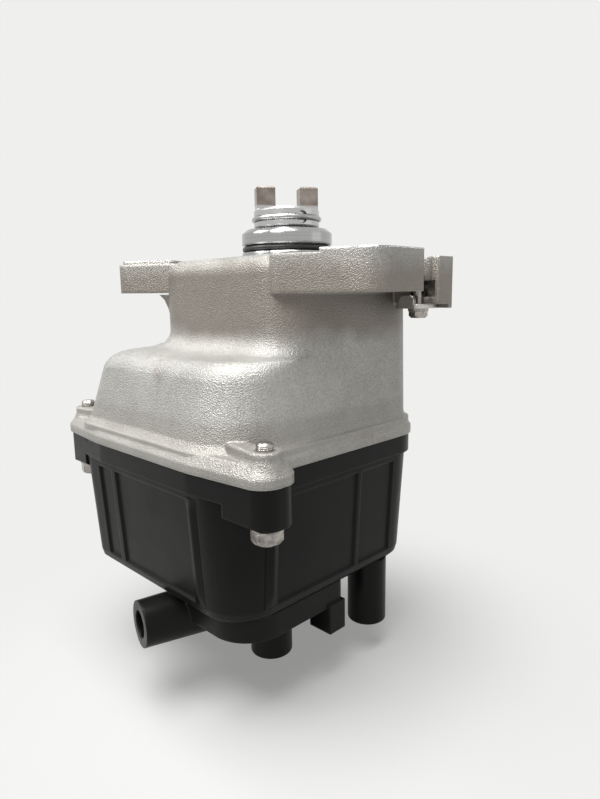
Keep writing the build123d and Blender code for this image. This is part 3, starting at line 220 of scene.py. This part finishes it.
def plasticMaterial(name, look):
    look = {**plasticBase, **look}
    t = Tree(name)
    colour = t.blend(t.layer(look["driftSize"], 3.0, 0.55, 0.3, 0.7), look["dark"], look["light"])
    # sharp edges blended to a lighter colour: painted highlight along the edges, and wear
    colour = t.blend(t.times(t.edges(look["edgeRadius"]), look["edge"]), colour, look["edgeColour"])
    flow = t.times(t.noise(look["flow"], 2.0, 0.5), look["flowShare"])
    height = t.math("ADD", t.noise(look["grain"], 2.0, 0.6), flow)
    normal = t.bump(height, look["bump"], look["bumpDepth"], t.rounded(look["round"]))
    rough = t.spread(t.noise(*look["glossDrift"]), 0.3, 0.7, look["roughness"] - 0.05, look["roughness"] + 0.06)
    return t.set(Base_Color=colour, Roughness=rough, Normal=normal, Specular_IOR_Level=look["specular"])


# bare metals: turned, drawn, plated or ground
metalBase = {"driftSize": 160.0, "edge": 0.4, "edgeColour": grey(0.8), "edgeRadius": 0.0004, "lineSize": 1800.0,
             "stretch": (1.0, 1.0, 6.0), "bump": 0.12, "bumpDepth": 0.00005, "round": 0.0003, "bareSoft": 0.0003}


def metalMaterial(name, look):
    look = {**metalBase, **look}
    t = Tree(name)
    colour = t.blend(t.layer(look["driftSize"], 3.0, 0.55, 0.32, 0.68), look["dark"], look["light"])
    if "bareBelow" in look:
        # coated above this height and bare below it
        bare = t.above(t.parts(t.place)[2], look["bareBelow"], -look["bareSoft"])
        colour = t.blend(bare, colour, look["bareColour"])
    # sharp edges blended to a lighter colour: painted highlight along the edges, and wear
    colour = t.blend(t.times(t.edges(look["edgeRadius"]), look["edge"]), colour, look["edgeColour"])
    lines = t.noise(look["lineSize"], 2.0, 0.6, look["stretch"])
    normal = t.bump(lines, look["bump"], look["bumpDepth"], t.rounded(look["round"]))
    rough = t.spread(lines, 0.25, 0.75, look["roughness"] - 0.06, look["roughness"] + 0.08)
    return t.set(Base_Color=colour, Metallic=1.0, Roughness=rough, Normal=normal)


plastics = {
    "distributor_cap": {"dark": (0.0035, 0.0040, 0.0034, 1.0), "light": (0.0075, 0.0082, 0.0068, 1.0),
                        "roughness": 0.34, "specular": 0.12, "bump": 0.16, "round": 0.0010,
                        "edge": 0.30, "edgeColour": (0.045, 0.048, 0.041, 1.0)},
    "connector_socket": {"dark": grey(0.014), "light": grey(0.026), "roughness": 0.46},
    "dust_cover": {"dark": grey(0.045), "light": grey(0.07), "roughness": 0.5},
    "rotor_arm": {"dark": (0.05, 0.018, 0.012, 1.0), "light": (0.085, 0.03, 0.018, 1.0), "roughness": 0.3},
    "coil_body": {"dark": grey(0.012), "light": grey(0.022), "roughness": 0.22, "driftSize": 60.0},
    "igniter_module": {"dark": grey(0.016), "light": grey(0.028), "roughness": 0.35},
    "crank_pickup": {"dark": grey(0.02), "light": grey(0.035), "roughness": 0.5},
    "cylinder_pickup": {"dark": grey(0.02), "light": grey(0.035), "roughness": 0.5},
    "carbon_brush": {"dark": grey(0.012), "light": grey(0.03), "roughness": 0.6, "grain": 5000.0, "bump": 0.3},
    "cap_seal": {"dark": grey(0.008), "light": grey(0.014), "roughness": 0.62},
    "pilot_o_ring": {"dark": grey(0.006), "light": grey(0.012), "roughness": 0.38, "specular": 0.6},
    "shaft_oil_seal": {"dark": grey(0.01), "light": grey(0.02), "roughness": 0.5},
}
zinc = {"dark": (0.15, 0.125, 0.11, 1.0), "light": (0.50, 0.475, 0.44, 1.0), "driftSize": 260.0, "roughness": 0.2,
        "bump": 0.25, "edge": 0.6}
ground = {"dark": grey(0.5), "light": grey(0.66), "roughness": 0.16}
spring = {"dark": grey(0.34), "light": grey(0.5), "roughness": 0.26}
sintered = {"dark": grey(0.2), "light": grey(0.32), "roughness": 0.5, "bump": 0.4, "stretch": (1.0, 1.0, 1.0)}
brass = {"dark": (0.55, 0.36, 0.13, 1.0), "light": (0.75, 0.53, 0.24, 1.0), "roughness": 0.26}
metals = {
    "cap_screws": zinc, "bracket_screw": zinc, "pan_screws": zinc, "pickup_screws": zinc, "rotor_screw": zinc,
    "harness_bracket": {"dark": (0.34, 0.33, 0.31, 1.0), "light": (0.60, 0.58, 0.55, 1.0), "roughness": 0.3},
    "sensor_plate": {"dark": grey(0.42), "light": grey(0.58), "roughness": 0.34},
    "shaft_bush": {"dark": (0.25, 0.16, 0.08, 1.0), "light": (0.42, 0.28, 0.14, 1.0), "roughness": 0.45,
                   "stretch": (1.0, 1.0, 1.0)},
    "bearing_outer_ring": ground, "bearing_inner_ring": ground, "bearing_balls": ground, "coupling_pin": ground,
    "bearing_cage": {"dark": grey(0.4), "light": grey(0.52), "roughness": 0.3},
    "shaft": {"dark": grey(0.42), "light": grey(0.58), "roughness": 0.22},
    "drive_coupling": {"dark": (0.18, 0.142, 0.122, 1.0), "light": (0.35, 0.31, 0.28, 1.0), "roughness": 0.26,
                       "bump": 0.2, "edgeColour": grey(0.7), "bareBelow": 0.0178, "bareColour": grey(0.5)},
    "coupling_retaining_ring": spring, "shaft_clip": spring, "brush_spring": spring, "coil_contact_spring": spring,
    "crank_wheel": sintered, "cylinder_wheel": sintered, "pickup_poles": sintered,
    "coil_core": {"dark": grey(0.12), "light": grey(0.24), "roughness": 0.42, "bump": 0.5, "lineSize": 2600.0,
                  "stretch": (0.1, 0.1, 6.0)},
    "igniter_plate": {"dark": grey(0.5), "light": grey(0.62), "roughness": 0.36},
    "rotor_electrode": brass, "tower_terminals": brass, "centre_terminal": brass, "connector_contacts": brass,
}

materials = {"housing": castMaterial(castLook)}
for nodeName, look in plastics.items():
    materials[nodeName] = plasticMaterial(nodeName + "Plastic", look)
shared = {}                                                 # nodes of one metal share its material
for nodeName, look in metals.items():
    if id(look) not in shared:
        shared[id(look)] = metalMaterial(nodeName + "Metal", look)
    materials[nodeName] = shared[id(look)]
for nodeName, material in materials.items():
    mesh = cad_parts[nodeName].data
    mesh.materials.clear()
    mesh.materials.append(material)
print("materials done", len(materials))


# new pieces ride on the base and take the material of the node that they belong to
def ringMesh(name, rings, nodeName):
    # rings has the shape (steps, around, 3): point k of ring i joins its neighbours both ways, and the ends are filled
    steps, around = rings.shape[:2]
    index = np.arange(steps * around).reshape(steps, around)
    a, b = index[:-1], index[1:]
    quads = np.stack([a, np.roll(a, -1, 1), np.roll(b, -1, 1), b], axis=-1).reshape(-1, 4)
    faces = quads.tolist() + [index[0][::-1].tolist(), index[-1].tolist()]
    mesh = bpy.data.meshes.new(name)
    mesh.from_pydata(rings.reshape(-1, 3).tolist(), [], faces)
    mesh.polygons.foreach_set("use_smooth", np.ones(len(faces), dtype=bool))
    mesh.materials.append(materials[nodeName])
    piece = bpy.data.objects.new(name, mesh)
    bpy.context.scene.collection.objects.link(piece)
    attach(piece, "base")
    return piece


# skin that closes the opening which the cutter of the back ear's slot leaves in the shoulder
skinLook = {
    "corner": (-0.017, 0.022), "run": 0.0229, "height": -0.0247,         # arc over the hollow, where the rays start
    "turnFrom": 80.0, "turnTo": 142.0, "turns": 27, "tiltFrom": -8.0, "tiltTo": 120.0, "tilts": 27,
    "longest": 0.02, "margin": 0.0003, "hold": 1e4,                      # readings kept, and how firmly
    "coverTo": 0.0013, "proud": 0.00003, "sinkBy": 0.0022, "sunk": 0.0013, "thick": 0.0009,
}
slotPlan = {"radius": 0.0485, "turn": 120.0, "spread": 5.0, "half": 0.0043}


def slotDistance(x, y, plan):
    # distance in plan from the slot's outline: from the nearest point of its middle arc, less half its width
    turn = np.degrees(np.arctan2(y, x)) - plan["turn"]
    near = np.radians(plan["turn"] + np.clip(turn, -plan["spread"], plan["spread"]))
    return np.hypot(x - plan["radius"] * np.cos(near), y - plan["radius"] * np.sin(near)) - plan["half"]


def stiffFill(values, known, hold):
    # thin plate: the squares of the second differences, both ways and crosswise, are made least with known values held
    rows, columns = values.shape
    bendRows, bendColumns = (np.diff(np.eye(size), 2, axis=0) for size in (rows, columns))
    slopeRows, slopeColumns = (np.diff(np.eye(size), 1, axis=0) for size in (rows, columns))
    bends = [np.kron(bendRows, np.eye(columns)), np.kron(np.eye(rows), bendColumns),
             math.sqrt(2) * np.kron(slopeRows, slopeColumns)]
    total = sum(bend.T @ bend for bend in bends)
    weight = np.where(known, hold, 0.0).ravel()
    held = np.where(known, values, 0.0).ravel()
    return np.linalg.solve(total + np.diag(weight), weight * held).reshape(rows, columns)


def makeShoulderSkin(look, plan):
    # rays fan out from the arc; point = start + ray x length, with the lengths filled in over the opening
    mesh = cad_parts["housing"].data
    tree = BVHTree.FromPolygons([v.co for v in mesh.vertices], [f.vertices for f in mesh.polygons])
    turn, tilt = np.meshgrid(np.radians(np.linspace(look["turnFrom"], look["turnTo"], look["turns"])),
                             np.radians(np.linspace(look["tiltFrom"], look["tiltTo"], look["tilts"])), indexing="ij")
    outX, outY = np.cos(turn), np.sin(turn)
    start = np.stack([look["corner"][0] + look["run"] * outX, look["corner"][1] + look["run"] * outY,
                      np.full(turn.shape, look["height"])], axis=-1)
    ray = np.stack([-np.cos(tilt) * outX, -np.cos(tilt) * outY, -np.sin(tilt)], axis=-1)
    read = np.vectorize(lambda *a: tree.ray_cast(Vector(a[:3]), Vector(a[3:]))[3] or 0.0)
    far = read(*np.moveaxis(start, -1, 0), *np.moveaxis(ray, -1, 0))
    clear = slotDistance(*np.moveaxis(start + ray * far[..., None], -1, 0)[:2], plan)
    known = (far > 0) & (far < look["longest"]) & (clear > look["margin"])
    far = stiffFill(far, known, look["hold"])
    clear = slotDistance(*np.moveaxis(start + ray * far[..., None], -1, 0)[:2], plan)
    sink = np.interp(clear, [look["coverTo"], look["sinkBy"]], [-look["proud"], look["sunk"]])
    top = start + ray * (far + sink)[..., None]
    low = start + ray * (far + look["sunk"] + look["thick"])[..., None]
    ringMesh("shoulderSkin", np.concatenate([top, low[:, ::-1]], axis=1), "housing")


# coils of the brush spring, at one fixed length
springLook = {"wire": 0.00033, "turns": 6, "stepsPerTurn": 32, "around": 10, "travel": 0.00307, "clear": 0.00004}


def makeBrushSpring(look):
    # a circle of wire carried round a helix: the angle grows evenly with height inside the node's own box
    low, high = (np.array(corner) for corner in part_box("brush_spring"))
    centre, wire = (low + high) / 2, look["wire"]
    t = np.linspace(0.0, 1.0, look["turns"] * look["stepsPerTurn"])[:, None]
    angle = 2 * math.pi * look["turns"] * t
    around = np.linspace(0.0, 2 * math.pi, look["around"], endpoint=False)[None, ::-1]
    r = (high[0] - low[0]) / 2 - wire - look["clear"] + wire * np.cos(around)
    bottom, top = low[2] + wire + look["clear"], high[2] - wire - look["clear"]
    z = bottom + (top - bottom) * t + wire * np.sin(around)
    rings = np.stack([centre[0] + r * np.cos(angle), centre[1] + r * np.sin(angle), z], axis=-1)
    piece = ringMesh("brushSpringCoils", rings, "brush_spring")
    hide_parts("brush_spring")
    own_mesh(piece)


# threads on the screw tips that stand through the flange
threadLook = {"places": [(-0.0498, -0.0415), (0.018952, 0.042126), (-0.0498, 0.0603)], "radius": 0.00243,
              "height": 0.00013, "pitch": 0.0006, "low": -0.05375, "high": -0.0522, "stepsPerTurn": 40,
              "root": 0.4, "flank": 0.42, "runOut": 8.0}


def makeThread(name, place, look):
    # helix: the angle grows with height, and a small triangle stands out from the shank at each step
    turns = (look["high"] - look["low"]) / look["pitch"]
    t = np.linspace(0.0, 1.0, int(turns * look["stepsPerTurn"]))[:, None]
    angle = 2 * math.pi * turns * t
    fade = np.clip(np.minimum(t, 1 - t) * look["runOut"], 0.05, 1.0)
    out = np.array([[-look["root"], 0.0, 1.0, 0.0]]) * look["height"]
    up = np.array([[0.0, -look["flank"], 0.0, look["flank"]]]) * look["pitch"]
    r = look["radius"] + out * fade
    z = look["low"] + (look["high"] - look["low"]) * t + up * fade
    rings = np.stack([place[0] + r * np.cos(angle), place[1] + r * np.sin(angle), z], axis=-1)
    ringMesh(name, rings[:, ::-1], "cap_screws")


# soft ridges down two sides of the cap
ribLook = {"top": -0.0712, "low": -0.1062, "height": 0.00085, "width": 0.0026, "sink": 0.0006, "runOut": 9.0,
           "lean": 0.0022, "leanFrom": -0.0697, "leanOver": 0.0368, "steps": 40, "around": 13,
           "left": {"face": -0.0575, "at": -0.0163}, "front": {"face": -0.0352, "at": -0.0412}}


def makeRib(name, side, look):
    # its height is a raised cosine across, faded out at both ends, on a face that leans inwards on its way down
    t = np.linspace(0.0, 1.0, look["steps"])
    across = np.linspace(-1.0, 1.0, look["around"])
    fade = np.clip(np.minimum(t, 1 - t) * look["runOut"], 0.0, 1.0)
    bulge = look["height"] * (0.5 + 0.5 * np.cos(math.pi * across))
    z = look["top"] + (look["low"] - look["top"]) * t
    face = look[side]["face"] + look["lean"] * (look["leanFrom"] - z) / look["leanOver"]
    out = face[:, None] - bulge[None, :] * fade[:, None]
    out = np.concatenate([out, np.tile((face + look["sink"])[:, None], (1, 2))], axis=1)
    along = look[side]["at"] + np.concatenate([across, [1.0, -1.0]]) * look["width"]
    along = np.tile(along, (look["steps"], 1))
    tall = np.tile(z[:, None], (1, along.shape[1]))
    if side == "left":
        rings = np.stack([out, along, tall], axis=-1)
    else:
        rings = np.stack([along, out, tall], axis=-1)[:, ::-1]
    ringMesh(name, rings, "distributor_cap")


makeShoulderSkin(skinLook, slotPlan)
makeBrushSpring(springLook)
for k, place in enumerate(threadLook["places"]):
    makeThread("capScrewThread" + str(k + 1), place, threadLook)
makeRib("capRibLeft", "left", ribLook)
makeRib("capRibFront", "front", ribLook)
print("small pieces done")

# floor and room: the floor takes the shadow near the object and runs into the backdrop's tone further out
stageLook = {"floorHeight": -0.147, "floorSeen": 0.74, "floorLit": 0.6, "backdrop": 0.866, "ambient": 0.16,
             "tint": (1.0, 1.0, 0.985), "reach": 3.0, "fadeFrom": 0.05, "fadeTo": 0.15, "lift": 0.3,
             "shadowAt": (0.012, 0.004, 0.147)}


def seenPath(nodes, links):
    # 1 for rays that show the background: straight from the camera, mirrored or through glass
    rays = nodes.new("ShaderNodeLightPath").outputs
    seen = rays["Is Camera Ray"]
    for kind in ("Is Glossy Ray", "Is Transmission Ray"):
        either = nodes.new("ShaderNodeMath")
        either.operation = "MAXIMUM"
        links.new(seen, either.inputs[0])
        links.new(rays[kind], either.inputs[1])
        seen = either.outputs[0]
    return seen


def floorMaterial(look):
    t = Tree("paleFloor")
    seen = seenPath(t.nodes, t.links)
    t.set(Base_Color=t.blend(seen, grey(look["floorLit"], look["tint"]), grey(look["floorSeen"], look["tint"])),
          Roughness=0.9, Specular_IOR_Level=0.0)
    fromShadow = t.put("ShaderNodeVectorMath", {0: t.place, 1: look["shadowAt"]}).outputs[0]
    outwards = t.put("ShaderNodeMapRange", {"Value": t.length(fromShadow), "From Min": look["fadeFrom"],
                                            "From Max": look["fadeTo"], "To Min": look["lift"]},
                     interpolation_type="SMOOTHSTEP").outputs[0]
    glow = t.put("ShaderNodeEmission", {"Color": grey(1.0, look["tint"]), "Strength": look["backdrop"]})
    mixed = t.put("ShaderNodeMixShader", {0: t.times(seen, outwards)})
    t.links.new(t.shader.outputs[0], mixed.inputs[1])
    t.links.new(glow.outputs[0], mixed.inputs[2])
    t.links.new(mixed.outputs[0], t.nodes["Material Output"].inputs["Surface"])
    return t.mat


def makeFloor(look):
    mesh = bpy.data.meshes.new("paleFloor")
    corners = np.array([(-1, -1), (1, -1), (1, 1), (-1, 1)]) * look["reach"]
    mesh.from_pydata([(x, y, look["floorHeight"]) for x, y in corners], [], [(0, 1, 2, 3)])
    mesh.materials.append(floorMaterial(look))
    floor = bpy.data.objects.new("paleFloor", mesh)
    bpy.context.scene.collection.objects.link(floor)
    return floor


def makeRoom(look):
    world = bpy.data.worlds.new("softRoom")
    bpy.context.scene.world = world
    world.use_nodes = True
    nodes, links = world.node_tree.nodes, world.node_tree.links
    level = nodes.new("ShaderNodeMapRange")
    level.inputs["To Min"].default_value = look["ambient"]
    level.inputs["To Max"].default_value = look["backdrop"]
    links.new(seenPath(nodes, links), level.inputs["Value"])
    links.new(level.outputs[0], nodes["Background"].inputs["Strength"])
    nodes["Background"].inputs["Color"].default_value = grey(1.0, look["tint"])


# soft square lamps: place and aim in metres, power in watts; each lights the part or the floor alone
lamps = {
    "overhead": {"place": (-0.10, 0.0, 0.80), "aim": (0, 0, -0.05), "size": 0.45, "power": 8.0, "on": "part"},
    "leftBack": {"place": (-0.46, 0.42, 0.62), "aim": (-0.02, 0, -0.06), "size": 0.4, "power": 5.0, "on": "part"},
    "left": {"place": (-0.70, -0.22, 0.58), "aim": (-0.02, 0, -0.06), "size": 0.4, "power": 3.8, "on": "part"},
    "rightFill": {"place": (0.55, -0.75, 0.15), "aim": (0, 0, -0.06), "size": 0.5, "power": 0.22, "on": "part"},
    "floorWash": {"place": (-0.235, -0.035, 0.66), "aim": (-0.02, 0, -0.147), "size": 0.6, "power": 9.4,
                  "on": "floor"},
}


def makeLamps(lamps, floor):
    reached = {"part": bpy.data.collections.new("partOnly"), "floor": bpy.data.collections.new("floorOnly")}
    for group in reached.values():
        group.objects.link(floor)
    reached["part"].collection_objects[0].light_linking.link_state = "EXCLUDE"
    for name, lamp in lamps.items():
        data = bpy.data.lights.new(name, "AREA")
        data.size, data.energy = lamp["size"], lamp["power"]
        light = bpy.data.objects.new(name, data)
        bpy.context.scene.collection.objects.link(light)
        light.location = lamp["place"]
        aim = Vector(lamp["aim"]) - Vector(lamp["place"])
        light.rotation_euler = aim.to_track_quat("-Z", "Y").to_euler()
        light.light_linking.receiver_collection = reached[lamp["on"]]


makeRoom(stageLook)
makeLamps(lamps, makeFloor(stageLook))
print("stage and lights done")

# camera: heading and tilts in degrees, lens and sensor in millimetres
eye = {"place": (-0.1534, -0.1587, -0.0130), "heading": 45.0, "down": 9.9, "roll": 0.9, "lens": 36.0,
       "sensor": 36.0, "near": 0.01}


def makeCamera(eye):
    heading, down, roll = (math.radians(eye[k]) for k in ("heading", "down", "roll"))
    forward = Vector((math.cos(heading) * math.cos(down), math.sin(heading) * math.cos(down), -math.sin(down)))
    flatRight = Vector((math.sin(heading), -math.cos(heading), 0))
    straightUp = flatRight.cross(forward)
    right = flatRight * math.cos(roll) - straightUp * math.sin(roll)
    upward = straightUp * math.cos(roll) + flatRight * math.sin(roll)
    data = bpy.data.cameras.new("view")
    data.sensor_fit, data.sensor_width, data.lens = "HORIZONTAL", eye["sensor"], eye["lens"]
    data.clip_start = eye["near"]
    camera = bpy.data.objects.new("view", data)
    bpy.context.scene.collection.objects.link(camera)
    turn = Matrix((right, upward, -forward)).transposed().to_4x4()
    camera.matrix_world = Matrix.Translation(eye["place"]) @ turn
    bpy.context.scene.camera = camera


makeCamera(eye)
bpy.context.scene.view_settings.view_transform = "Standard"
